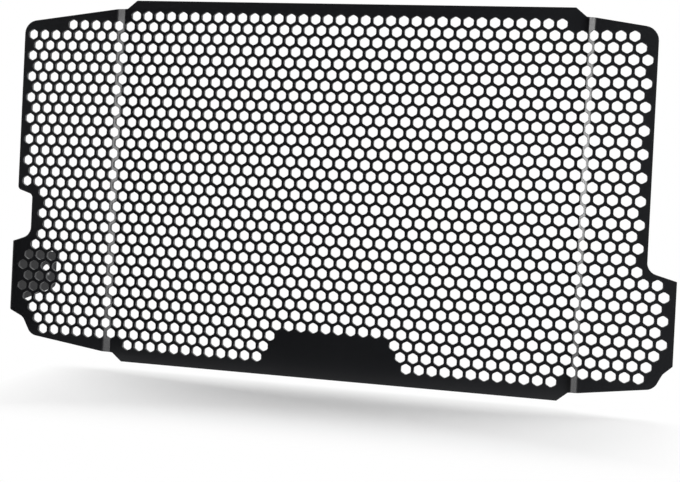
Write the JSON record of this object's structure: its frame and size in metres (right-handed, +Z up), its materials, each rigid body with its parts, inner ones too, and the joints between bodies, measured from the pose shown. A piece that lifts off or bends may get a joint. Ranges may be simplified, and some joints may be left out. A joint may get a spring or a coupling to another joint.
{
  "type": "motorcycle radiator guard",
  "caption": "Honeycomb-punched sheet guard that covers a motorcycle radiator, with stepped wings, side ears and a folded flange with a bolt hole.",
  "frame": {"origin": "middle of the bolt hole in the side flange, half way through its sheet", "axes": "+X to the right as seen from the front, +Y to the back, towards the radiator, +Z up"},
  "size_m": [0.398, 0.036, 0.221],
  "materials": {
    "powder_coat": "satin black powder coat on aluminium sheet"
  },
  "bodies": {
    "root": {"radiator_guard": "powder_coat"}
  },
  "joints": []
}
